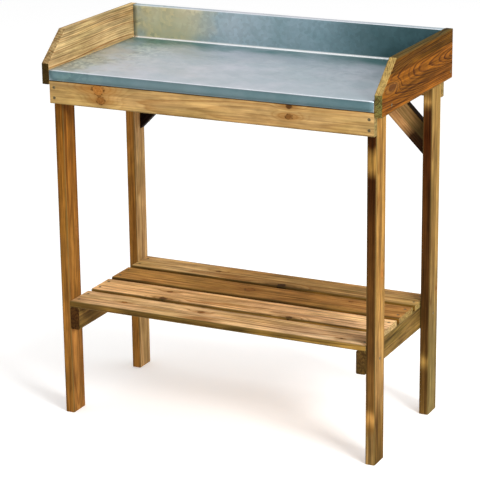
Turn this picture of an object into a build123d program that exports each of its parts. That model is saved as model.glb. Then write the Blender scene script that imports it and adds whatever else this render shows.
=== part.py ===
"""Potting bench: a pine frame with a slatted shelf and a folded zinc sheet over its slatted worktop.

Millimetres. X runs across the bench, Y from the front to the back and Z up. The origin is on the
floor, under the middle of the bench. Every timber, the sheet and each set of screws is its own node.
"""

import os

from build123d import *

# Overall sizes
overall_width = 800.0  # across the outer faces of the side boards
overall_depth = 406.0  # along the side boards, front to back
worktop_height = 804.0  # floor to the upper face of the sheet
side_board_rise = 76.0  # from the worktop up to the top of the side boards
shelf_height = 270.0  # floor to the upper face of the shelf slats

# Timber sections
leg_width = 22.0  # along X
leg_depth = 52.0  # along Y
apron_thickness = 16.0
apron_visible_height = 52.0  # the part of the apron below the sheet's lip
side_board_thickness = 18.0
side_board_drop = 33.0  # from the worktop down to the lower edge of the side boards
side_board_nose_height = 46.0  # height of the side board's front end
side_board_slope_run = 78.0  # length of the sloping corner, along Y
back_board_thickness = 18.0
back_rail_thickness = 16.0
back_rail_height = 42.0
back_rail_gap = 0.5  # between the back board and the rail under it
bearer_width = 22.0
shelf_bearer_height = 52.0
top_bearer_height = 40.0
slat_width = 83.0
slat_thickness = 14.0
slat_count = 4
slat_end_clearance = 0.5  # between a slat's end and the leg beside it
brace_width = 52.0
brace_thickness = 22.0
brace_reach = 199.2  # down the leg, from the worktop slats to the brace's lowest point

# Rounding of the timber's long edges
frame_ease = 3.0  # legs, bearers, slats and braces
board_ease = 2.0  # apron, rail, back board and side boards

# Zinc sheet
sheet_thickness = 0.8
sheet_bend = 1.5  # inner radius of its bends
sheet_end_clearance = 0.5  # to each side board
lip_height = 23.0
rear_hem_height = 14.0
nail_count = 5
nail_end_distance = 60.0  # from the sheet's end to the first nail
nail_drop = 8.0  # from the sheet's top to the nails

# Screws and nails
head_radius = 3.6
head_cone_height = 2.4
shank_radius = 1.9
head_sink = 0.3  # from the timber's face down to the screw's head
tip_height = 5.0
recess_width = 0.9
recess_depth = 1.5
recess_length = 4.2
nail_head_radius = 3.0
nail_head_height = 0.8
nail_shank_radius = 1.1
nail_length = 15.0
frame_screw_length = 40.0
side_screw_length = 35.0
slat_screw_length = 28.0
brace_screw_length = 34.0
apron_screw_edge_distance = 13.0  # from the apron's lower edge to the lower screw
apron_screw_spacing = 23.0
back_board_screw_edge_distance = 8.1  # to the board's lower edge and to the leg's top
back_rail_screw_spacing = 20.0
shelf_bearer_screw_rise = 33.0  # above the bearer's lower face
top_bearer_screw_rise = 14.0
top_bearer_screw_offset = 10.0  # from the leg's centre towards the middle of the bench
side_screw_setback = 35.0  # behind the front leg's front face
brace_screw_rise = 20.0  # above the brace's lowest point
pocket_reach = 12.0  # how far a brace's screw pocket opens past its sloping edge

# Planes that the timbers share
front = -overall_depth / 2
back = overall_depth / 2
frame_half = overall_width / 2 - side_board_thickness  # outer faces of the legs
leg_inner = frame_half - leg_width
overall_height = worktop_height + side_board_rise
apron_front = front + sheet_thickness
leg_front = apron_front + apron_thickness
sheet_back = back - nail_head_height
board_back = sheet_back - sheet_thickness
leg_back = board_back - back_board_thickness  # back faces of the back legs
sheet_underside = worktop_height - sheet_thickness
lip_bottom = worktop_height - lip_height
apron_bottom = lip_bottom - apron_visible_height
side_board_bottom = worktop_height - side_board_drop
slat_underside_top = sheet_underside - slat_thickness
slat_underside_shelf = shelf_height - slat_thickness
brace_foot_height = slat_underside_top - brace_reach
top_bearer_bottom = slat_underside_top - top_bearer_height
shelf_bearer_bottom = slat_underside_shelf - shelf_bearer_height
back_rail_top = side_board_bottom - back_rail_gap
front_leg_centre = leg_front + leg_depth / 2
back_leg_centre = leg_back - leg_depth / 2
leg_centre_x = frame_half - leg_width / 2
bearer_centre_x = leg_inner - bearer_width / 2

sides = {"left": -1, "right": 1}


def both_sides(seats_of):
    return [seat for side in sides.values() for seat in seats_of(side)]


def timber(low, high, grain, ease):
    """A board between two corners, with the edges along its grain rounded."""
    size = [high[i] - low[i] for i in range(3)]
    middle = [(high[i] + low[i]) / 2 for i in range(3)]
    block = Pos(*middle) * Box(*size)
    return fillet(block.edges().filter_by(grain), ease)


def on_side(side, low, high, grain, ease):
    """The same board on the left or the right: low and high are given for the right side."""
    board = timber(low, high, grain, ease)
    return board if side > 0 else mirror(board, about=Plane.YZ)


def countersunk_screw(length):
    """A countersunk screw that points along -Z, with its head's face on the XY plane."""
    outline = Polyline(
        (0, 0),
        (head_radius, 0),
        (shank_radius, -head_cone_height),
        (shank_radius, tip_height - length),
        (0, -length),
        close=True,
    )
    body = revolve(Plane.XZ * make_face(outline), Axis.Z)
    slot = Pos(0, 0, -recess_depth / 2) * Box(recess_length, recess_width, recess_depth)
    return body - slot - Rot(0, 0, 90) * slot


def screw_hole(length, reach=1.0):
    """The space that a screw takes in the timber, opened by reach past its face."""
    outline = Polyline(
        (0, reach),
        (head_radius, reach),
        (head_radius, -head_sink),
        (shank_radius, -head_sink - head_cone_height),
        (shank_radius, -head_sink + tip_height - length),
        (0, -head_sink - length),
        close=True,
    )
    return revolve(Plane.XZ * make_face(outline), Axis.Z)


def clout_nail():
    """A flat-headed nail that points along -Z, with its head standing on the XY plane."""
    head = Pos(0, 0, nail_head_height / 2) * Cylinder(nail_head_radius, nail_head_height)
    shank = Pos(0, 0, -nail_length / 2) * Cylinder(nail_shank_radius, nail_length)
    return head + shank


def placed(shape, seats):
    """A copy of the shape at each seat. A seat is a point on a face and the face's outward normal."""
    return [Plane(origin=point, z_dir=normal) * shape for point, normal in seats]


def screws_at(seats, length):
    return placed(Pos(0, 0, -head_sink) * countersunk_screw(length), seats)


def holes_at(seats, length, reach=1.0):
    return placed(screw_hole(length, reach), seats)


def save(name, shape):
    os.makedirs("parts", exist_ok=True)
    solids = shape if isinstance(shape, list) else [shape]
    pieces = [solid for item in solids for solid in item.solids()]
    export_step(pieces[0] if len(pieces) == 1 else Compound(pieces), f"parts/{name}.step")


# Where the screws go: each seat is on the face that the head sits in
front_normal, back_normal = (0, -1, 0), (0, 1, 0)
apron_seats = [
    ((side * leg_centre_x, apron_front, apron_bottom + apron_screw_edge_distance + rise), front_normal)
    for side in sides.values()
    for rise in (0, apron_screw_spacing)
]
back_board_seats = [
    ((side * leg_centre_x, board_back, height), back_normal)
    for side in sides.values()
    for height in (
        side_board_bottom + back_board_screw_edge_distance,
        sheet_underside - back_board_screw_edge_distance,
    )
]
back_rail_back = leg_back + back_rail_thickness
back_rail_middle = back_rail_top - back_rail_height / 2
back_rail_seats = [
    ((side * leg_centre_x, back_rail_back, back_rail_middle + rise), back_normal)
    for side in sides.values()
    for rise in (-back_rail_screw_spacing / 2, back_rail_screw_spacing / 2)
]


def side_board_seats(side):
    """One screw into the front leg and one into the end of the back board."""
    height = (side_board_bottom + sheet_underside) / 2
    back_board_centre = board_back - back_board_thickness / 2
    return [
        ((side * overall_width / 2, y, height), (side, 0, 0))
        for y in (leg_front + side_screw_setback, back_board_centre)
    ]


def shelf_bearer_seats(side):
    height = shelf_bearer_bottom + shelf_bearer_screw_rise
    return [
        ((side * frame_half, y, height), (side, 0, 0))
        for y in (front_leg_centre, back_leg_centre)
    ]


def top_bearer_seats(side):
    height = top_bearer_bottom + top_bearer_screw_rise
    rows = (front_leg_centre + top_bearer_screw_offset, back_leg_centre - top_bearer_screw_offset)
    return [((side * frame_half, y, height), (side, 0, 0)) for y in rows]


def slat_fronts():
    """The front edge of each slat: the first and the last are flush with the legs."""
    span = leg_back - leg_front
    pitch = (span - slat_width) / (slat_count - 1)
    return [leg_front + pitch * i for i in range(slat_count)]


def slat_seats(height, slat_front):
    return [
        ((side * bearer_centre_x, slat_front + slat_width * share, height), (0, 0, 1))
        for side in sides.values()
        for share in (0.25, 0.75)
    ]


def brace_line(height):
    """X of the brace's lower edge at a height, on the right side: it rises at 45 degrees."""
    return leg_inner - (height - brace_foot_height)


def brace_foot_seats(side):
    """One screw in a pocket in the brace's lower edge, into the leg."""
    height = brace_foot_height + brace_screw_rise
    middle = leg_back - brace_thickness / 2
    return [((side * brace_line(height), middle, height), (-side, 0, 0))]


def brace_head_seats(side):
    """One screw from behind, through the back rail."""
    half_span = brace_width / 2 * 2**0.5
    x = brace_line(back_rail_middle) + half_span
    return [((side * x, back_rail_back, back_rail_middle), back_normal)]


def leg(side, at_back):
    """A leg from the floor to the underside of the sheet, bored for every screw that enters it."""
    near = leg_back - leg_depth if at_back else leg_front
    low = (leg_inner, near, 0)
    high = (frame_half, near + leg_depth, sheet_underside)
    shape = on_side(side, low, high, Axis.Z, frame_ease)
    shape -= holes_at(shelf_bearer_seats(side) + top_bearer_seats(side), frame_screw_length)
    if at_back:
        shape -= holes_at(back_board_seats + back_rail_seats, frame_screw_length)
        return shape - holes_at(brace_foot_seats(side), brace_screw_length)
    shape -= holes_at(apron_seats, frame_screw_length)
    return shape - holes_at(side_board_seats(side), side_screw_length)


def apron():
    low = (-frame_half, apron_front, apron_bottom)
    high = (frame_half, leg_front, sheet_underside)
    shape = timber(low, high, Axis.X, board_ease)
    return shape - holes_at(apron_seats, frame_screw_length)


def back_board():
    """The upstand that the sheet folds over, fixed behind the back legs."""
    low = (-frame_half, leg_back, side_board_bottom)
    high = (frame_half, board_back, overall_height - sheet_thickness)
    shape = timber(low, high, Axis.X, board_ease)
    shape -= holes_at(back_board_seats, frame_screw_length)
    shape -= holes_at(both_sides(side_board_seats), side_screw_length)
    return shape - placed(clout_nail(), nail_seats())


def back_rail():
    low = (-frame_half, leg_back, back_rail_top - back_rail_height)
    high = (frame_half, back_rail_back, back_rail_top)
    shape = timber(low, high, Axis.X, board_ease)
    shape -= holes_at(back_rail_seats, frame_screw_length)
    return shape - holes_at(both_sides(brace_head_seats), brace_screw_length)


def side_board(side):
    """A side board with its upper front corner cut to a slope."""
    nose_top = side_board_bottom + side_board_nose_height
    outline = Polyline(
        (front, side_board_bottom),
        (back, side_board_bottom),
        (back, overall_height),
        (front + side_board_slope_run, overall_height),
        (front, nose_top),
        close=True,
    )
    shape = extrude(Plane.YZ * make_face(outline), side_board_thickness)
    rounded = fillet(shape.edges().filter_by(Axis.X, reverse=True), board_ease)
    board = Pos(frame_half, 0, 0) * rounded
    board = board if side > 0 else mirror(board, about=Plane.YZ)
    return board - holes_at(side_board_seats(side), side_screw_length)


def bearer(side, bottom, top, seats):
    """A rail from front to back against the inner faces of two legs, which carries slats."""
    low = (leg_inner - bearer_width, leg_front, bottom)
    high = (leg_inner, leg_back, top)
    shape = on_side(side, low, high, Axis.Y, frame_ease)
    slat_holes = [
        seat for slat_front in slat_fronts() for seat in slat_seats(top + slat_thickness, slat_front)
    ]
    return shape - holes_at(seats, frame_screw_length) - holes_at(slat_holes, slat_screw_length)


def slat(height, slat_front):
    """A slat between the legs, with its upper face at the height given."""
    half = leg_inner - slat_end_clearance
    low = (-half, slat_front, height - slat_thickness)
    high = (half, slat_front + slat_width, height)
    shape = timber(low, high, Axis.X, frame_ease)
    return shape - holes_at(slat_seats(height, slat_front), slat_screw_length)


def brace(side):
    """A 45 degree brace from a back leg up to the underside of the worktop slats."""
    long_enough = 2 * overall_height
    bar = Box(long_enough, brace_thickness, brace_width)
    bar = fillet(bar.edges().filter_by(Axis.X), frame_ease)
    centre_x = brace_line(slat_underside_top) + brace_width / 2 * 2**0.5
    middle = leg_back - brace_thickness / 2
    bar = Pos(centre_x, middle, slat_underside_top) * Rot(0, 45, 0) * bar
    room_low = (0, leg_back - brace_thickness, 0)
    room_high = (leg_inner, leg_back, slat_underside_top)
    size = [room_high[i] - room_low[i] for i in range(3)]
    room = Pos(*[(room_high[i] + room_low[i]) / 2 for i in range(3)]) * Box(*size)
    shape = bar & room
    shape = shape if side > 0 else mirror(shape, about=Plane.YZ)
    foot = holes_at(brace_foot_seats(side), brace_screw_length, pocket_reach)
    return shape - foot - holes_at(brace_head_seats(side), brace_screw_length)


def nail_seats():
    half = frame_half - sheet_end_clearance - nail_end_distance
    step = 2 * half / (nail_count - 1)
    height = overall_height - nail_drop
    return [((-half + step * i, sheet_back, height), back_normal) for i in range(nail_count)]


def zinc_sheet():
    """The sheet, folded down over the apron, up the back board, over its top and down behind it."""
    visible = [
        (front, lip_bottom),
        (front, worktop_height),
        (leg_back - sheet_thickness, worktop_height),
        (leg_back - sheet_thickness, overall_height),
        (sheet_back, overall_height),
        (sheet_back, overall_height - rear_hem_height),
    ]
    hidden = [
        (board_back, overall_height - rear_hem_height),
        (board_back, overall_height - sheet_thickness),
        (leg_back, overall_height - sheet_thickness),
        (leg_back, sheet_underside),
        (apron_front, sheet_underside),
        (apron_front, lip_bottom),
    ]
    profile = make_face(Polyline(*visible, *hidden, close=True))
    inner = [hidden[1], hidden[2], hidden[4], visible[2]]
    outer = [visible[1], visible[3], visible[4], hidden[3]]
    profile = fillet(corners_of(profile, inner), sheet_bend)
    profile = fillet(corners_of(profile, outer), sheet_bend + sheet_thickness)
    half = frame_half - sheet_end_clearance
    shape = Pos(-half, 0, 0) * extrude(Plane.YZ * profile, 2 * half)
    return shape - placed(clout_nail(), nail_seats())


def corners_of(profile, points):
    """The profile's corners that lie at the points given."""
    return [
        corner
        for corner in profile.vertices()
        if any((Vector(*point) - Vector(corner.X, corner.Y)).length < 1e-6 for point in points)
    ]


for side_name, side in sides.items():
    save(f"leg_front_{side_name}", leg(side, at_back=False))
    save(f"leg_back_{side_name}", leg(side, at_back=True))
    save(f"side_board_{side_name}", side_board(side))
    save(f"brace_{side_name}", brace(side))
    shelf_bearer = bearer(side, shelf_bearer_bottom, slat_underside_shelf, shelf_bearer_seats(side))
    save(f"shelf_bearer_{side_name}", shelf_bearer)
    top_bearer = bearer(side, top_bearer_bottom, slat_underside_top, top_bearer_seats(side))
    save(f"worktop_bearer_{side_name}", top_bearer)

for number, slat_front in enumerate(slat_fronts(), start=1):
    save(f"shelf_slat_{number}", slat(shelf_height, slat_front))
    save(f"worktop_slat_{number}", slat(sheet_underside, slat_front))

save("front_apron", apron())
save("back_board", back_board())
save("back_rail", back_rail())
save("zinc_sheet", zinc_sheet())

shelf_slat_seats = [seat for y in slat_fronts() for seat in slat_seats(shelf_height, y)]
worktop_slat_seats = [seat for y in slat_fronts() for seat in slat_seats(sheet_underside, y)]
save("apron_screws", screws_at(apron_seats, frame_screw_length))
save("back_board_screws", screws_at(back_board_seats, frame_screw_length))
save("back_rail_screws", screws_at(back_rail_seats, frame_screw_length))
save("side_board_screws", screws_at(both_sides(side_board_seats), side_screw_length))
save("shelf_bearer_screws", screws_at(both_sides(shelf_bearer_seats), frame_screw_length))
save("worktop_bearer_screws", screws_at(both_sides(top_bearer_seats), frame_screw_length))
save("shelf_slat_screws", screws_at(shelf_slat_seats, slat_screw_length))
save("worktop_slat_screws", screws_at(worktop_slat_seats, slat_screw_length))
brace_seats = both_sides(brace_foot_seats) + both_sides(brace_head_seats)
save("brace_screws", screws_at(brace_seats, brace_screw_length))
save("sheet_nails", placed(clout_nail(), nail_seats()))
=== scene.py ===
"""The looks of a potting bench: treated pine boards, a folded zinc sheet and its fixings.

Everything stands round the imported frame, in metres: X across the bench, Y to the back, Z up.
"""

import math

import bmesh
import bpy
from mathutils import Euler, Matrix, Vector, noise


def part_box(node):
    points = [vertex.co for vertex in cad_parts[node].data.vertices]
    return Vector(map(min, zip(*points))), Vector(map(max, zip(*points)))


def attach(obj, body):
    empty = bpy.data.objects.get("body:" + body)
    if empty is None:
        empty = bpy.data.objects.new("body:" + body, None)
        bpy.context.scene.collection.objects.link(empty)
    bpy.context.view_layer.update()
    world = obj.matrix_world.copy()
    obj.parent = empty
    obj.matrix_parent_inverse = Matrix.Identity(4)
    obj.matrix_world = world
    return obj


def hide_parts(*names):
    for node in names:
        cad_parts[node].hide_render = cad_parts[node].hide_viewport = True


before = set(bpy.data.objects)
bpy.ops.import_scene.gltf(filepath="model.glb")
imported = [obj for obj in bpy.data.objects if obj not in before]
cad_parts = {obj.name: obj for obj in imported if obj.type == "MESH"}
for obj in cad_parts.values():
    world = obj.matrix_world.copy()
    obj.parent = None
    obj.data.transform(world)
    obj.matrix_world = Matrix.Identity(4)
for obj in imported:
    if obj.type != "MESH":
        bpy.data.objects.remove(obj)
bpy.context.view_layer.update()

MM = 0.001
BENCH_WIDTH = 800 * MM
FRONT, RIGHT, UP = (0, -1, 0), (1, 0, 0), (0, 0, 1)
CORNER_SLOPE, TOP_EDGE = (0, -0.63, 0.78), (0, 0.3, 0.95)
BRACE_TOP = (0.707, 0, 0.707)


# Colours ------------------------------------------------------------------------------------------


def tone(red, green, blue):
    """A colour given in display values from 0 to 255, as the linear colour that a shader takes."""
    values = []
    for value in (red, green, blue):
        share = value / 255
        values.append(share / 12.92 if share <= 0.04045 else ((share + 0.055) / 1.055) ** 2.4)
    return (*values, 1.0)


def gain(red, green, blue):
    """A tint given as plain factors, of which those above 1 brighten."""
    return (red, green, blue, 1.0)


WHITE = gain(1.0, 1.0, 1.0)


# Shader nodes -------------------------------------------------------------------------------------


class Finish:
    """A material whose nodes are added one step at a time. Every step returns an output socket."""

    def __init__(self, name):
        self.material = bpy.data.materials.new(name)
        self.material.use_nodes = True
        self.tree = self.material.node_tree
        self.surface = self.tree.nodes["Principled BSDF"]
        coordinates = self.node("ShaderNodeTexCoord").outputs
        self.point, self.normal = coordinates["Object"], coordinates["Normal"]

    def node(self, kind, inputs=None, **settings):
        made = self.tree.nodes.new(kind)
        for setting, value in settings.items():
            setattr(made, setting, value)
        for socket, value in (inputs or {}).items():
            self.feed(made.inputs[socket], value)
        return made

    def feed(self, socket, value):
        if isinstance(value, bpy.types.NodeSocket):
            self.tree.links.new(value, socket)
        else:
            socket.default_value = value[:3] if socket.type == "VECTOR" else value

    def set(self, **inputs):
        """Feeds the surface shader's sockets: base_color is the socket called Base Color."""
        for name, value in inputs.items():
            socket = name.replace("_", " ").title().replace("Ior", "IOR")
            self.feed(self.surface.inputs[socket], value)

    def math(self, operation, a, b=0.0):
        return self.node("ShaderNodeMath", {0: a, 1: b}, operation=operation).outputs[0]

    def times(self, a, b):
        return self.math("MULTIPLY", a, b)

    def plus(self, a, b):
        return self.math("ADD", a, b)

    def centred(self, value, reach):
        """A value from 0 to 1, moved to lie about 0 and spread over the reach."""
        return self.times(self.math("SUBTRACT", value, 0.5), reach)

    def vector(self, operation, a, b=(0, 0, 0)):
        made = self.node("ShaderNodeVectorMath", {0: a, 1: b}, operation=operation)
        return made.outputs["Value" if operation in {"LENGTH", "DOT_PRODUCT"} else "Vector"]

    def stretched_length(self, vector, stretch):
        """The vector's length after each of its axes is stretched."""
        return self.vector("LENGTH", self.vector("MULTIPLY", vector, stretch))

    def placed(self, coordinates, location=(0, 0, 0), turn=(0, 0, 0), scale=(1, 1, 1)):
        """The coordinates, scaled, then turned, then moved."""
        inputs = {"Vector": coordinates, "Location": location, "Rotation": turn, "Scale": scale}
        return self.node("ShaderNodeMapping", inputs).outputs[0]

    def split(self, vector):
        return self.node("ShaderNodeSeparateXYZ", {0: vector}).outputs

    def noise(self, coordinates, scale, detail=2.0, roughness=0.5, colour=False):
        """Noise at a scale in waves per metre: one number, or one for each axis."""
        if isinstance(scale, tuple):
            coordinates, scale = self.placed(coordinates, scale=scale), 1.0
        inputs = {"Vector": coordinates, "Scale": scale, "Detail": detail, "Roughness": roughness}
        return self.node("ShaderNodeTexNoise", inputs).outputs["Color" if colour else "Fac"]

    def step(self, value, low, high, start=0.0, end=1.0):
        """Goes smoothly from start to end as the value goes from low to high."""
        inputs = {"Value": value, "From Min": low, "From Max": high, "To Min": start, "To Max": end}
        made = self.node("ShaderNodeMapRange", inputs, interpolation_type="SMOOTHSTEP")
        return made.outputs[0]

    def facing(self, outward, low=0.5, high=0.8, end=1.0):
        """Rises from 0 to end on the faces that look along the outward axis."""
        return self.step(self.vector("DOT_PRODUCT", self.normal, outward), low, high, 0.0, end)

    def ramp(self, value, stops):
        """A colour ramp through (place, colour) stops."""
        made = self.node("ShaderNodeValToRGB", {0: value})
        elements = made.color_ramp.elements
        while len(elements) < len(stops):
            elements.new(1.0)
        while len(elements) > len(stops):
            elements.remove(elements[-1])
        for element, (place, colour) in zip(elements, stops):
            element.position = place
            element.color = colour
        return made.outputs["Color"]

    def curve(self, value, stops):
        """The same with plain numbers for colours, read back as one number."""
        grey = self.ramp(value, [(place, (level, level, level, 1)) for place, level in stops])
        return self.node("ShaderNodeRGBToBW", {0: grey}).outputs[0]

    def mix(self, share, a, b, blend="MIX"):
        """Goes from colour a to colour b by the share. The node's colour sockets are 6 and 7."""
        made = self.node("ShaderNodeMix", data_type="RGBA", blend_type=blend)
        self.feed(made.inputs[0], share)
        self.feed(made.inputs[6], a)
        self.feed(made.inputs[7], b)
        return made.outputs[2]

    def tint(self, share, colour, by):
        """The colour multiplied by another, by the share."""
        return self.mix(share, colour, by, "MULTIPLY")

    def scaled(self, colour, level):
        made = self.node("ShaderNodeVectorMath", {0: colour, 3: level}, operation="SCALE")
        return made.outputs["Vector"]

    def bump(self, height, strength, distance):
        inputs = {"Height": height, "Strength": strength, "Distance": distance}
        return self.node("ShaderNodeBump", inputs).outputs[0]


# Pieces -------------------------------------------------------------------------------------------


def show(node, material):
    """Gives a carried CAD piece its finish."""
    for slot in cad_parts[node].material_slots:
        slot.material = material


def finished(name, mesh, material):
    """Turns a bmesh into a piece in the scene."""
    data = bpy.data.meshes.new(name)
    mesh.to_mesh(data)
    mesh.free()
    data.materials.append(material)
    piece = bpy.data.objects.new(name, data)
    bpy.context.scene.collection.objects.link(piece)
    return piece


# Pine ---------------------------------------------------------------------------------------------

KNOT_HEART = tone(180, 122, 58)
KNOT_RING = tone(136, 82, 32)
KNOT_DARK = tone(60, 30, 8)
KNOT_HALO = tone(158, 106, 48)
KNOT_TAIL_STRETCH = 0.28
KNOT_RINGS = 22.0
END_GRAIN = tone(104, 98, 58)
RUBBED_EDGE = tone(96, 82, 46)
RUBBED_WIDTH, RUBBED_RIM = 4 * MM, 0.5 * MM
COPPER_GREEN = tone(214, 226, 184)
GRAIN_DEPTH = 0.5 * MM
SEED_STEPS = (1.37, 2.11, 0.73)


def board_axes(node):
    """The board's centre, its half sizes, and the turn that lays its grain along X.

    The same turn lays its width along Y.
    """
    low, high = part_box(node)
    order = sorted(range(3), key=lambda axis: low[axis] - high[axis])
    units = Matrix.Identity(3)
    grain, width = units[order[0]], units[order[1]]
    half = [(high[axis] - low[axis]) / 2 for axis in order]
    return (Vector(low) + Vector(high)) / 2, half, Matrix((grain, width, grain.cross(width)))


def brace_axes(node, lean):
    """The same for a brace that leans at 45 degrees, towards +X where lean is 1."""
    low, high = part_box(node)
    board_width, thickness = 52 * MM, 22 * MM
    grain = Vector((lean, 0, 1)).normalized()
    width = Vector((1, 0, -lean)).normalized()
    half = [(high.x - low.x) / math.sqrt(2), board_width / 2, thickness / 2]
    return (Vector(low) + Vector(high)) / 2, half, Matrix((grain, width, grain.cross(width)))


class Pine(Finish):
    """The finish of one board, with its own coordinates along, across and through it.

    The steps of its colour take the colour so far and return the next one.
    """

    def __init__(self, node, seed, axes):
        super().__init__("pine_" + node)
        centre, self.half, self.turned = axes
        self.local = self.placed(self.point, -(self.turned @ centre), self.turned.to_euler())
        self.along, self.across, self.through = self.split(self.local)
        self.own = self.placed(self.local, tuple(seed * step for step in SEED_STEPS))
        self.speckle = self.noise(self.own, 190.0, 2.0)
        self.mould = self.fibres(5.0, 24.0, 3.0, 0.6)
        self.coarse = self.fibres(3.0, 95.0, 3.0, 0.6)

    def fibres(self, along, across, detail, roughness=0.5):
        """Noise drawn out along the grain, in waves per metre along and across it."""
        return self.noise(self.own, (along, across, across), detail, roughness)

    def knot_shapes(self, knots, stretch):
        """For every knot, how far out a point is in its heart and in its long tail."""
        wobble = self.math("SUBTRACT", self.noise(self.own, 75.0, 3.0), 0.5)
        shapes = []
        for along, across, radius, darkness in knots:
            offset = self.vector("SUBTRACT", self.local, (along, across, 0))
            reach = self.stretched_length(offset, (1 / stretch, 1.0, 0))
            reach = self.plus(reach, self.times(wobble, radius * 1.5))
            tail = self.stretched_length(offset, (KNOT_TAIL_STRETCH, 1.0, 0))
            shapes.append((reach, tail, radius, darkness))
        return shapes

    def latewood(self, shapes, pith, tilt, wander, pitch, start):
        """The dark part of every ring. The pith wanders, and the rings swell round each knot."""
        drift = self.noise(self.own, (2.2, 7.0, 7.0), colour=True)
        drift = self.vector("SUBTRACT", drift, (0.5, 0.5, 0.5))
        drift = self.vector("MULTIPLY", drift, (0, wander, wander))
        tilted = self.placed(self.local, (0, *pith), (0, *tilt))
        radius = self.stretched_length(self.vector("ADD", tilted, drift), (0, 1, 1))
        for _, tail, knot_radius, _ in shapes:
            swell = self.step(tail, 0.0, knot_radius * 2.8, knot_radius * 1.6, 0.0)
            radius = self.plus(radius, swell)

        ripple = self.times(self.fibres(5.0, 60.0, 3.0), 1.2)
        count = self.plus(self.math("DIVIDE", radius, pitch * MM), ripple)
        year = self.math("FLOOR", count)
        year = self.node("ShaderNodeTexWhiteNoise", {"W": year}, noise_dimensions="1D")
        strength = self.step(year.outputs["Value"], 0.0, 1.0, 0.3, 1.0)
        late = 1.0 - start
        profile = self.curve(self.math("FRACT", count), [
            (0.0, 0.0), (start, 0.08), (1.0 - late * 0.45, 0.8), (1.0 - late * 0.2, 1.0),
            (1.0, 0.0),
        ])
        return self.times(profile, strength)

    def with_knots(self, colour, shapes):
        """A golden halo, and a mottled red-brown heart in a broken dark rim."""
        for reach, tail, radius, darkness in shapes:
            halo = self.step(tail, radius * 0.4, radius * 2.2, 0.7, 0.0)
            colour = self.mix(halo, colour, self.scaled(KNOT_HALO, 1.0 - darkness * 0.4))
            rings = self.math("SINE", self.times(reach, KNOT_RINGS / radius))
            rings = self.times(self.step(rings, -1.0, 1.0), 0.4)
            mottle = self.step(self.speckle, 0.35, 0.65, 0.0, 0.6)
            heart = self.mix(self.plus(rings, mottle), KNOT_HEART, KNOT_RING)
            heart = self.mix(darkness, heart, KNOT_DARK)
            core = self.step(reach, radius * 0.7, radius * 1.2, 0.85, 0.0)
            colour = self.mix(core, colour, heart)
            inside = self.step(reach, radius * 0.7, radius * 0.95)
            outside = self.step(reach, radius * 1.0, radius * 1.4, 1.0, 0.0)
            breaks = self.step(self.speckle, 0.35, 0.6, 0.8, 0.0)
            rim = self.times(self.times(inside, outside), breaks)
            colour = self.mix(rim, colour, KNOT_DARK)
        return colour

    def with_end_grain(self, colour, latewood):
        """Sawn ends drink the preservative."""
        slope = self.vector("DOT_PRODUCT", self.normal, tuple(self.turned[0]))
        end = self.step(self.math("ABSOLUTE", slope), 0.6, 0.9, 0.0, 0.65)
        sawn = self.mix(latewood, END_GRAIN, self.scaled(END_GRAIN, 0.4))
        sawn = self.scaled(sawn, self.step(self.speckle, 0.35, 0.65, 0.5, 1.5))
        return self.mix(end, colour, sawn)

    def with_cut(self, colour, latewood, streak, outward, light, dark):
        """A face that was cut later, and is paler."""
        paler = self.mix(self.times(latewood, 0.9), light, dark)
        paler = self.scaled(paler, self.step(streak, 0.37, 0.63, 0.65, 1.3))
        return self.mix(self.facing(outward, 0.7, 0.9, 0.9), colour, paler)

    def with_stains_and_painted_light(self, colour, stains_and_painted_light):
        """Stain and painted light, tinted with ragged ends on the faces and bands that each entry
        names.
        """
        place = self.plus(self.math("DIVIDE", self.along, self.half[0] * 2), 0.5)
        ragged = self.plus(place, self.centred(self.mould, 0.06))
        for outward, tint, stops, *band in stains_and_painted_light:
            share = self.curve(ragged, stops)
            if outward:
                share = self.times(share, self.facing(outward))
            for low, high in band:
                soft = min(4 * MM, (high - low) / 3)
                waved = self.plus(self.across, self.centred(self.mould, soft * 3))
                share = self.times(share, self.step(waved, low - soft, low + soft))
                share = self.times(share, self.step(waved, high - soft, high + soft, 1.0, 0.0))
            colour = self.tint(share, colour, tint)
        return colour

    def with_rubbed_edges(self, colour):
        """The long edges are rubbed, and dirt stays in them."""
        edges = []
        for distance, half in ((self.across, self.half[1]), (self.through, self.half[2])):
            from_middle = self.math("ABSOLUTE", distance)
            edges.append(self.step(from_middle, half - RUBBED_WIDTH, half - RUBBED_RIM))
        rubbed = self.times(self.times(*edges), self.coarse)
        return self.mix(self.times(rubbed, 1.1), colour, RUBBED_EDGE)


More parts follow.
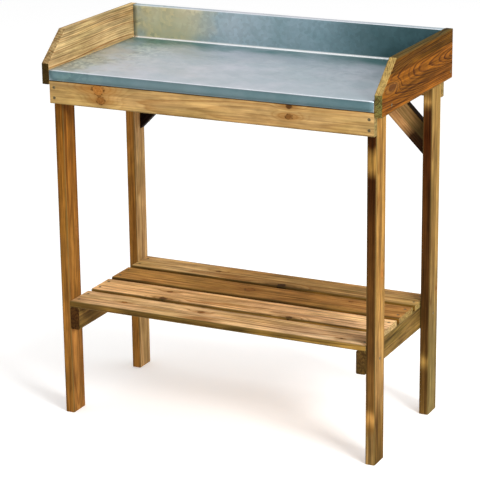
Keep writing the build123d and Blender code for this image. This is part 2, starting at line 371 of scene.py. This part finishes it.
def pine(node, seed, light, dark, pith=(0.02, 0.05), tilt=(0.0, 0.0), pitch=4.5, contrast=0.8,
         fibre=0.5, streaks=0.45, cloud=0.35, green=0.4, ring_start=0.45, wander=0.022,
         knot_stretch=1.4, knots=(), cut=None, stains_and_painted_light=(), axes=None):
    """Pine for one board: rings round its own pith, knots, stain and painted light, greener ends,
    rubbed edges.

    Lengths are in metres along the grain, across the width and through the thickness, from the
    board's centre, except pitch, which is the rings' spacing in millimetres. The pith is moved
    (across, through) from the centre, is tilted by two angles in radians about those axes, and
    wanders. The dark part of a ring begins at ring_start, from 0 to 1. The dark tone shows in
    the rings by contrast, in long streaks by streaks and in patches by cloud. The lines of the
    fibre vary by fibre, and green is the strength of the preservative's tint.

    A knot is (along, across, radius, darkness), and knot_stretch is how much longer than wide
    its heart is. A cut is (outward axis, light, dark), for a face that was cut later.

    An entry of stains_and_painted_light is (outward axis or None, tint, stops, band). Some are
    real stain marks, and some are painted shade, painted shadows and painted light. It tints the
    faces that look that way, or all of them, by the strengths that the (place, strength) stops
    give along the board, from 0 at its low end to 1 at its high end. The band is (low, high)
    across the board, and may be left out.
    """
    wood = Pine(node, seed, axes or board_axes(node))
    shapes = wood.knot_shapes(knots, knot_stretch)
    latewood = wood.latewood(shapes, pith, tilt, wander, pitch, ring_start)

    fine = wood.fibres(9.0, 420.0, 3.0, 0.6)
    middling = wood.fibres(7.0, 200.0, 3.0, 0.65)
    broad = wood.fibres(1.1, 34.0, 2.0, 0.55)
    wash = wood.fibres(3.2, 13.0, 3.0, 0.6)
    blotch = wood.fibres(16.0, 36.0, 4.0, 0.6)
    checks = wood.step(wood.fibres(2.4, 260.0, 1.0), 0.68, 0.74)
    streak = wood.plus(wood.times(fine, 0.25), wood.times(middling, 0.45))
    streak = wood.plus(streak, wood.times(wood.coarse, 0.3))

    colour = wood.mix(wood.times(latewood, contrast), light, dark)
    colour = wood.mix(wood.step(broad, 0.4, 0.68, 0.0, streaks), colour, dark)
    colour = wood.scaled(colour, wood.step(streak, 0.37, 0.63, 1.0 - fibre, 1.0 + fibre))
    colour = wood.scaled(colour, wood.step(blotch, 0.34, 0.66, 0.84, 1.16))
    colour = wood.mix(wood.step(wash, 0.42, 0.72, 0.0, cloud), colour, dark)
    colour = wood.tint(wood.step(wood.mould, 0.4, 0.7, 0.0, green), colour, COPPER_GREEN)
    colour = wood.mix(wood.times(checks, 0.45), colour, wood.scaled(dark, 0.4))
    colour = wood.with_knots(colour, shapes)
    colour = wood.with_end_grain(colour, latewood)
    if cut:
        colour = wood.with_cut(colour, latewood, streak, *cut)
    colour = wood.with_stains_and_painted_light(colour, stains_and_painted_light)
    colour = wood.with_rubbed_edges(colour)

    height = wood.plus(wood.times(latewood, 0.5), wood.times(fine, 0.6))
    height = wood.plus(height, wood.times(wood.coarse, 0.6))
    height = wood.math("SUBTRACT", height, wood.times(checks, 1.5))
    wood.set(
        base_color=colour,
        roughness=wood.step(streak, 0.3, 0.7, 0.85, 0.65),
        specular_ior_level=0.05,
        normal=wood.bump(height, 0.4, GRAIN_DEPTH),
    )
    show(node, wood.material)


# Zinc ---------------------------------------------------------------------------------------------

HEM_DROP = 14 * MM
BEND_RADIUS, BEND_STEPS = 2.6 * MM, 5
LONG_EDGE, CUTS_ALONG = 100 * MM, 60
WIDE_EDGE, CUTS_ACROSS = 50 * MM, 16
DENT_DEPTH, DENT_WAVES = 0.5 * MM, (5, 7, 9)
STIFF_RIM = 30 * MM


class Zinc(Finish):
    """Galvanised sheet, which knows the worktop's height and how far back the upstand stands.

    The steps of its colour take the colour so far and return the next one.
    """

    def __init__(self, name, worktop, back):
        super().__init__(name)
        self.worktop, self.back = worktop, back
        self.x, self.y, self.z = self.split(self.point)
        warp = self.noise(self.point, 30.0, 2.0, colour=True)
        flakes = self.vector("ADD", self.point, self.vector("MULTIPLY", warp, (0.012,) * 3))
        cells = {"Vector": flakes, "Scale": 130.0}
        cells = self.node("ShaderNodeTexVoronoi", cells, feature="F1").outputs["Color"]
        spangle = self.node("ShaderNodeRGBToBW", {0: cells}).outputs[0]
        self.spangle = self.step(spangle, 0.15, 0.85)
        self.clouds = self.noise(self.point, 5.0, 4.0, 0.6)
        wiped = self.placed(self.point, turn=(0, 0, 0.5))
        self.smears = self.noise(wiped, (6.0, 17.0, 17.0), 5.0, 0.65)
        self.patches = self.noise(self.point, 8.0, 3.0, 0.6)
        self.above = self.step(self.z, worktop, worktop + 4 * MM)
        self.upright = self.facing(FRONT)

    def oxide(self):
        """Two greys in soft clouds, and a duller one where the sheet was wiped."""
        cloudy = self.step(self.clouds, 0.35, 0.7)
        colour = self.mix(cloudy, tone(176, 185, 192), tone(204, 203, 212))
        return self.mix(self.step(self.smears, 0.45, 0.75, 0.0, 0.5), colour, tone(160, 173, 180))

    def with_ends(self, colour):
        """The spangle shows at the left end, and the right end is a little cooler."""
        left = self.step(self.x, -0.35, -0.17, 1.0, 0.1)
        showing = self.times(self.step(self.patches, 0.36, 0.56), left)
        speckle = self.mix(self.spangle, tone(128, 139, 134), tone(214, 213, 198))
        colour = self.mix(self.times(showing, 0.6), colour, speckle)
        colour = self.tint(left, colour, tone(242, 255, 255))
        return self.tint(self.step(self.x, 0.0, 0.36), colour, tone(238, 244, 246))

    def with_painted_reflection_strip(self, colour):
        """A painted reflection: a darker, greener strip of the worktop along the foot of the
        upstand.
        """
        strip = self.plus(self.y, self.centred(self.smears, 0.13))
        strip = self.step(strip, self.back - 95 * MM, self.back - 30 * MM)
        strip = self.times(strip, self.math("SUBTRACT", 1.0, self.above))
        strip = self.times(strip, self.step(self.patches, 0.36, 0.6, 0.6, 1.0))
        return self.tint(strip, colour, tone(134, 179, 174))

    def with_painted_upstand_reflection(self, colour):
        """A painted reflection on the upstand, yellowish at its left end and dark at its right."""
        along = self.plus(self.times(self.x, 1 / BENCH_WIDTH), 0.5)
        along = self.plus(along, self.centred(self.patches, 0.2))
        # The yellow at the left end is the left side board's painted reflection.
        shade = self.ramp(along, [
            (0.02, tone(204, 210, 206)),
            (0.06, tone(246, 227, 193)),
            (0.19, tone(240, 223, 187)),
            (0.27, tone(180, 196, 197)),
            (0.62, tone(143, 166, 169)),
            (0.85, tone(80, 108, 108)),
            (1.0, tone(76, 102, 104)),
        ])
        # The painted reflection is brightened to twice the ramp's tone.
        shade = self.scaled(shade, 2.0)
        mottled = self.mix(self.times(self.spangle, 0.3), shade, self.scaled(shade, 0.5))
        return self.tint(self.times(self.upright, self.above), colour, mottled)

    def with_painted_lip_shade(self, colour):
        """Painted shade: the front lip is tinted darker and greener."""
        below = self.step(self.z, self.worktop - 3 * MM, self.worktop - 1 * MM, 1.0, 0.0)
        smeared = self.step(self.smears, 0.35, 0.65)
        painted_lip_shade = self.mix(smeared, tone(124, 154, 154), tone(144, 168, 168))
        return self.tint(self.times(self.upright, below), colour, painted_lip_shade)

    def with_painted_highlights(self, colour):
        """Painted highlights: the rounded bends are bright, and so is the crease at the foot of the
        upstand.
        """
        slope = self.vector("DOT_PRODUCT", self.normal, FRONT)
        bend = self.times(slope, self.split(self.normal)[2])
        colour = self.mix(self.step(bend, 0.3, 0.5, 0.0, 0.8), colour, tone(240, 244, 250))
        behind = self.step(self.y, self.back - 5.5 * MM, self.back - 3 * MM)
        under = self.step(self.z, self.worktop + 4 * MM, self.worktop + 2 * MM, 0.0, 1.0)
        return self.mix(self.times(self.times(behind, under), 0.85), colour, WHITE)


def zinc(name, worktop, back):
    """Galvanised sheet: spangle, cloudy oxide, smudges, a dull satin shine, and painted light and
    shade.
    """
    metal = Zinc(name, worktop, back)
    colour = metal.with_ends(metal.oxide())
    colour = metal.with_painted_reflection_strip(colour)
    colour = metal.with_painted_upstand_reflection(colour)
    colour = metal.with_painted_lip_shade(colour)
    colour = metal.with_painted_highlights(colour)
    rough = metal.step(metal.smears, 0.3, 0.7, 0.32, 0.48)
    height = metal.plus(metal.clouds, metal.times(metal.spangle, 0.05))
    metal.set(
        base_color=colour,
        metallic=0.65,
        roughness=metal.plus(rough, metal.times(metal.spangle, 0.06)),
        normal=metal.bump(height, 0.25, 2 * MM),
    )
    return metal.material


def steel(name, bright, dull, rough):
    """Screws and nails: plated steel, duller and stained in its hollows."""
    metal = Finish(name)
    stain = metal.noise(metal.point, 900.0, 3.0, 0.6)
    metal.set(
        base_color=metal.mix(metal.step(stain, 0.35, 0.65), bright, dull),
        metallic=0.85,
        roughness=metal.step(stain, 0.3, 0.7, rough, rough + 0.25),
        normal=metal.bump(stain, 0.2, 0.1 * MM),
    )
    return metal.material


def zinc_sheet():
    """The folded sheet, with its bends, slight dents and a real thickness.

    It is swept along X from its profile: lip, worktop, upstand, top fold and rear hem.
    """
    low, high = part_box("zinc_sheet")
    board_low, board_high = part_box("back_board")
    thickness = high.z - board_high.z
    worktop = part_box("leg_front_left")[1].z + thickness
    upstand = board_low.y - thickness
    folds = [
        (low.y, low.z),
        (low.y, worktop),
        (upstand, worktop),
        (upstand, high.z),
        (high.y, high.z),
        (high.y, high.z - HEM_DROP),
    ]
    mesh = bmesh.new()
    corners = [mesh.verts.new((low.x, y, z)) for y, z in folds]
    profile = [mesh.edges.new(pair) for pair in zip(corners, corners[1:])]
    swept = bmesh.ops.extrude_edge_only(mesh, edges=profile)["geom"]
    moved = [item for item in swept if isinstance(item, bmesh.types.BMVert)]
    bmesh.ops.translate(mesh, verts=moved, vec=(high.x - low.x, 0, 0))
    bends = [edge for edge in mesh.edges if len(edge.link_faces) == 2]
    bmesh.ops.bevel(mesh, geom=bends, offset=BEND_RADIUS, offset_type="OFFSET",
                    segments=BEND_STEPS, profile=0.5, affect="EDGES", material=-1)
    lengthways = [edge for edge in mesh.edges if length_along(edge) > LONG_EDGE]
    bmesh.ops.subdivide_edges(mesh, edges=lengthways, cuts=CUTS_ALONG, use_grid_fill=True)
    wide = [edge for edge in mesh.edges if edge.calc_length() > WIDE_EDGE]
    bmesh.ops.subdivide_edges(mesh, edges=wide, cuts=CUTS_ACROSS, use_grid_fill=True)
    face_up(mesh, worktop)
    dent(mesh, low, high)
    piece = finished("zinc_sheet_folded", mesh, zinc("zinc_galvanised", worktop, upstand))
    solid = piece.modifiers.new("thickness", "SOLIDIFY")
    solid.thickness = thickness
    solid.offset = -1
    solid.use_even_offset = True
    for polygon in piece.data.polygons:
        polygon.use_smooth = True
    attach(piece, "root")
    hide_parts("zinc_sheet")


def length_along(edge):
    """How far the edge runs along X."""
    return abs(edge.verts[0].co.x - edge.verts[1].co.x)


def face_up(mesh, worktop):
    """Turns the sheet's faces the way that makes the worktop look up."""
    bmesh.ops.recalc_face_normals(mesh, faces=mesh.faces)
    flat = [face for face in mesh.faces if face.calc_center_median().z < worktop + MM]
    if max(flat, key=lambda face: face.calc_area()).normal.z < 0:
        bmesh.ops.reverse_faces(mesh, faces=mesh.faces)
    mesh.normal_update()


def dent(mesh, low, high):
    """Slight dents, none at the sheet's ends and front fold."""
    for vert in mesh.verts:
        point = vert.co
        waved = Vector([distance * waves for distance, waves in zip(point, DENT_WAVES)])
        depth = (noise.noise(waved) - 0.5) * DENT_DEPTH
        from_rim = min(point.x - low.x, high.x - point.x, max(point.y - low.y, 0))
        openness = min(1.0, max(0.0, from_rim / STIFF_RIM))
        vert.co += vert.normal * depth * openness


# The boards ---------------------------------------------------------------------------------------

# Stops along a board, and the paler places where the front edges of the shelf are worn
ALL_ALONG = [(0.0, 1.0)]
# A painted shadow on the right brace, towards its low end by the back right leg.
BRACE_PAINTED_SHADOW = tone(44, 28, 16)
WORN_PATCHES = [(0.0, 0.3), (0.06, 0.0), (0.14, 0.6), (0.2, 0.0), (0.33, 0.5), (0.4, 0.05),
                (0.52, 0.3), (0.6, 0.0), (0.66, 0.8), (0.72, 0.2), (0.8, 0.9), (0.88, 0.4),
                (0.95, 1.0)]


def top_boards():
    """The apron, the side boards, the raised back and the rail under it."""
    pine("front_apron", 1, tone(179, 145, 93), tone(132, 88, 40), pith=(0.02, 0.07),
         tilt=(0.02, 0.01), pitch=3.2, contrast=0.6, fibre=0.3, streaks=0.3, cloud=0.15,
         wander=0.012,
         knots=[(-0.262, 0.004, 0.010, 0.0), (-0.255, -0.020, 0.007, 0.4),
                (0.193, 0.010, 0.005, 1.0), (0.192, -0.012, 0.006, 0.7)],
         # A painted shadow: a thin dark line across the apron's front, just under the sheet's lip.
         stains_and_painted_light=[(FRONT, tone(90, 80, 50), ALL_ALONG, (0.0125, 0.016))])
    pine("side_board_left", 2, tone(184, 158, 112), tone(128, 78, 28), pith=(0.09, 0.03),
         tilt=(0.01, 0.01), pitch=4.4, contrast=1.0, fibre=0.45, green=0.3,
         stains_and_painted_light=[(FRONT, tone(126, 112, 80), ALL_ALONG),
                 # A painted shadow darkens the inner face at the rear end, where it meets the
                 # sheet.
                 (RIGHT, tone(120, 100, 60), [(0.95, 0.0), (0.985, 1.0)])])
    pine("side_board_right", 3, tone(126, 74, 13), tone(42, 12, 3), pith=(-0.004, 0.024),
         tilt=(0.09, 0.02), pitch=3.3, contrast=1.0, fibre=0.5, streaks=0.4, cloud=0.2, green=0.5,
         ring_start=0.5, wander=0.03, knot_stretch=2.8, knots=[(-0.150, -0.002, 0.007, 0.93)],
         cut=(CORNER_SLOPE, tone(174, 142, 86), tone(100, 58, 18)),
         stains_and_painted_light=[(FRONT, gain(0.85, 1.05, 0.95), ALL_ALONG),
                 (TOP_EDGE, tone(150, 170, 150), ALL_ALONG),
                 (RIGHT, tone(206, 220, 170), ALL_ALONG, (0.026, 0.06))])
    pine("back_board", 8, tone(196, 150, 86), tone(120, 72, 28), pith=(0.01, 0.06),
         tilt=(0.03, 0.0))
    pine("back_rail", 9, tone(184, 138, 74), tone(120, 72, 28), pith=(0.01, 0.05),
         tilt=(0.02, 0.0))


def legs():
    """Redder at the front left, greyer at the feet, and painted shade on the front faces at the
    right.
    """
    pine("leg_front_left", 4, tone(153, 104, 44), tone(94, 53, 15), pith=(0.012, 0.05),
         tilt=(0.03, 0.0), pitch=3.6, contrast=0.75, fibre=0.5, streaks=0.45,
         knots=[(0.03, 0.012, 0.004, 0.3)],
         stains_and_painted_light=[(RIGHT, gain(1.1, 1.15, 1.4), [(0.3, 1.0), (0.6, 0.0)]),
                 (None, tone(236, 226, 190), [(0.5, 0.0), (0.75, 1.0)])])
    pine("leg_front_right", 5, tone(158, 119, 60), tone(104, 64, 20), pith=(0.02, 0.05),
         tilt=(0.02, 0.0), pitch=3.6, contrast=0.8, fibre=0.55,
         knots=[(0.02, 0.008, 0.006, 0.0)],
         # Painted shade down the front face, darkest under the apron as a painted shadow, and a
         # painted patch of light near the foot, which is lighter and bluer.
         stains_and_painted_light=[(FRONT, tone(98, 68, 20), [(0.0, 0.3), (0.09, 0.3), (0.125, 0.0), (0.16, 0.55),
                                            (0.3, 0.8), (0.79, 1.0), (0.822, 0.0), (0.852, 0.1),
                                            (0.88, 1.0)]),
                 (FRONT, gain(1.9, 1.95, 2.2), [(0.1, 0.0), (0.12, 1.0), (0.135, 1.0),
                                                (0.15, 0.0)]),
                 (FRONT, gain(1.0, 1.15, 1.6), [(0.08, 1.0), (0.1, 0.0)]),
                 (RIGHT, tone(170, 168, 146), [(0.0, 1.0), (0.12, 0.9), (0.2, 0.0)]),
                 (RIGHT, gain(1.05, 1.1, 1.4), [(0.1, 0.0), (0.16, 1.0), (0.3, 1.0),
                                                (0.5, 0.0)])])
    pine("leg_back_left", 6, tone(204, 168, 116), tone(130, 88, 42), pith=(0.01, 0.05),
         tilt=(0.02, 0.01), pitch=3.6, contrast=0.8, fibre=0.5, streaks=0.4,
         stains_and_painted_light=[(FRONT, tone(206, 176, 122), ALL_ALONG)])
    pine("leg_back_right", 7, tone(146, 116, 62), tone(90, 58, 22), pith=(0.02, 0.06),
         tilt=(0.03, 0.01), pitch=5.0, contrast=0.9, ring_start=0.6,
         knots=[(-0.11, 0.014, 0.004, 0.6)],
         # Painted shade down the front face, broken by two painted patches of light.
         stains_and_painted_light=[(FRONT, tone(132, 84, 36), [(0.0, 0.5), (0.13, 0.6), (0.165, 0.0), (0.2, 0.7),
                                             (0.8, 1.0), (0.87, 0.9), (0.9, 0.0), (0.93, 0.5)]),
                 (FRONT, gain(1.7, 1.7, 1.8), [(0.14, 0.0), (0.16, 1.0), (0.175, 1.0),
                                               (0.19, 0.0), (0.88, 0.0), (0.9, 1.0),
                                               (0.92, 0.0)]),
                 (RIGHT, tone(224, 240, 255), [(0.0, 1.0), (0.2, 1.0), (0.45, 0.0)])])


def slats():
    """The four slats of the shelf, each with its own tone, and the four under the sheet."""
    shelf_slats = {
        1: (tone(224, 183, 133), [(-0.056, 0.010, 0.006, 0.5), (-0.243, 0.0, 0.005, 0.2),
                                  (0.295, -0.02, 0.003, 1.0)], []),
        2: (tone(238, 189, 134), [(-0.185, 0.012, 0.005, 0.6), (-0.178, -0.034, 0.007, 0.9),
                                  (0.136, -0.036, 0.006, 1.0)], []),
        3: (tone(178, 130, 68), [(-0.025, 0.004, 0.009, 0.3), (0.22, 0.02, 0.004, 0.5)],
            [(UP, gain(0.75, 0.7, 0.63), [(0.25, 0.0), (0.36, 0.8), (0.45, 0.6), (0.52, 0.3),
                                          (0.62, 0.8), (0.68, 1.0)])]),
        4: (tone(190, 146, 86), [(-0.15, 0.0, 0.005, 0.8), (0.03, -0.034, 0.009, 1.0)],
            [(UP, gain(1.1, 1.25, 1.6), [(0.25, 1.0), (0.34, 0.0)]),
             (UP, gain(0.55, 0.59, 0.6), [(0.3, 0.0), (0.4, 0.35), (0.54, 1.0), (0.7, 0.6)])]),
    }
    for number, (light, knots, own_stains) in shelf_slats.items():
        pine(f"shelf_slat_{number}", 10 + number, light, tone(150, 100, 48), pith=(0.03, 0.06),
             tilt=(0.015, 0.0), streaks=0.45, cloud=0.3, knots=knots,
             # Painted shade: the slats' front faces are tinted darker.
             stains_and_painted_light=[(FRONT, tone(116, 112, 80), ALL_ALONG),
                     (FRONT, gain(2.6, 2.5, 2.3), WORN_PATCHES),
                     (UP, gain(1.08, 1.12, 1.25), [(0.65, 0.0), (0.85, 1.0)]),
                     (UP, tone(150, 140, 104), ALL_ALONG, (-0.05, -0.0395)),
                     (UP, tone(170, 156, 122), ALL_ALONG, (0.0385, 0.05)),
                     *own_stains])
        pine(f"worktop_slat_{number}", 20 + number, tone(190, 144, 84), tone(120, 76, 32),
             pith=(0.01, 0.05), tilt=(0.03, 0.0))


def bearers_and_braces():
    """The bearers under the slats, and the braces, of which the left one is painted almost black.
    """
    # The bearers' front ends are darker, the left one more.
    for side, end_tint in (("left", tone(170, 124, 96)), ("right", tone(196, 164, 142))):
        pine(f"shelf_bearer_{side}", 31, tone(112, 86, 42), tone(62, 40, 16), pith=(0.01, 0.04),
             tilt=(0.02, 0.0), green=0.7, stains_and_painted_light=[(FRONT, end_tint, ALL_ALONG)])
        pine(f"worktop_bearer_{side}", 32, tone(172, 124, 66), tone(100, 62, 26),
             pith=(0.01, 0.04), tilt=(0.02, 0.0), green=0.6)
    # Painted shade: the left brace is coloured almost black, as it stands in shade under the
    # worktop.
    pine("brace_left", 41, tone(27, 14, 7), tone(13, 6, 3), pith=(0.01, 0.04), tilt=(0.02, 0.0),
         axes=brace_axes("brace_left", 1))
    pine("brace_right", 42, tone(196, 152, 98), tone(132, 84, 44), pith=(0.01, 0.04),
         tilt=(0.02, 0.0), axes=brace_axes("brace_right", -1),
         # Painted shadow on the front face and the top edge, near the leg.
         stains_and_painted_light=[(FRONT, BRACE_PAINTED_SHADOW, [(0.0, 1.0), (0.22, 0.95), (0.33, 0.05)]),
                 (BRACE_TOP, BRACE_PAINTED_SHADOW, [(0.0, 1.0), (0.45, 0.95), (0.6, 0.2)])])


def fixings():
    """Plated screws everywhere, and galvanised nails along the sheet's hem."""
    screw_finish = steel("screw_plated", tone(150, 134, 96), tone(70, 58, 40), 0.4)
    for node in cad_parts:
        if node.endswith("screws"):
            show(node, screw_finish)
    nail_finish = steel("nail_galvanised", tone(160, 164, 168), tone(110, 114, 118), 0.45)
    show("sheet_nails", nail_finish)


# The set ------------------------------------------------------------------------------------------


def floor():
    """A plain white floor just below the feet, bright enough to run into the background."""
    size, gap = 60.0, 0.2 * MM
    mesh = bmesh.new()
    bmesh.ops.create_grid(mesh, x_segments=1, y_segments=1, size=size / 2)
    bmesh.ops.translate(mesh, verts=mesh.verts, vec=(0, 0, -gap))
    paper = Finish("paper_white")
    paper.set(
        base_color=(0.85, 0.85, 0.85, 1),
        roughness=0.9,
        emission_color=WHITE,
        emission_strength=0.3,
    )
    finished("floor", mesh, paper.material)


def lamp(name, location, target, size, power):
    """A square soft lamp that looks from its location at the target."""
    data = bpy.data.lights.new(name, "AREA")
    data.shape = "RECTANGLE"
    data.size, data.size_y = size, size
    data.energy = power
    made = bpy.data.objects.new(name, data)
    bpy.context.scene.collection.objects.link(made)
    made.location = location
    away = Vector(target) - Vector(location)
    made.rotation_euler = away.to_track_quat("-Z", "Y").to_euler()


def studio():
    """Soft light all round, brighter from behind and the right, with one key lamp at the right."""
    brightest = Vector((0.45, 0.8, 0.35)).normalized()
    grading = {"From Min": -0.8, "From Max": 0.8, "To Min": 0.5, "To Max": 0.85}
    world = bpy.data.worlds.new("studio")
    world.use_nodes = True
    tree = world.node_tree
    background = tree.nodes["Background"]
    direction = tree.nodes.new("ShaderNodeTexCoord").outputs["Generated"]
    towards = tree.nodes.new("ShaderNodeVectorMath")
    towards.operation = "DOT_PRODUCT"
    towards.inputs[1].default_value = brightest
    tree.links.new(direction, towards.inputs[0])
    graded = tree.nodes.new("ShaderNodeMapRange")
    for socket, value in grading.items():
        graded.inputs[socket].default_value = value
    tree.links.new(towards.outputs["Value"], graded.inputs["Value"])
    tree.links.new(graded.outputs[0], background.inputs["Strength"])
    background.inputs["Color"].default_value = WHITE
    bpy.context.scene.world = world
    lamp("key", location=(3.6, -2.0, 2.6), target=(0, 0, 0.4), size=1.4, power=190)
    lamp("top", location=(0.3, 0.2, 3.6), target=(0, 0, 0.8), size=2.0, power=25)


def camera(azimuth, elevation, roll, distance, target, lens):
    """Looks at the target from the bench's front right. The three angles are in degrees."""
    data = bpy.data.cameras.new("camera")
    data.sensor_width = 36.0
    data.lens = lens
    data.clip_start, data.clip_end = 0.1, 200
    made = bpy.data.objects.new("camera", data)
    bpy.context.scene.collection.objects.link(made)
    turn, rise = math.radians(azimuth), math.radians(elevation)
    level = math.cos(rise)
    back = Vector((math.sin(turn) * level, -math.cos(turn) * level, math.sin(rise)))
    rolled = Euler((0, 0, math.radians(roll))).to_quaternion()
    made.location = Vector(target) + back * distance
    made.rotation_euler = ((-back).to_track_quat("-Z", "Y") @ rolled).to_euler()
    bpy.context.scene.camera = made


top_boards()
legs()
slats()
bearers_and_braces()
zinc_sheet()
fixings()
floor()
studio()
camera(azimuth=26.1, elevation=17.2, roll=-0.71, distance=4.657, target=(-0.022, -0.0022, 0.404),
       lens=155.75)
bpy.context.scene.view_settings.view_transform = "Standard"
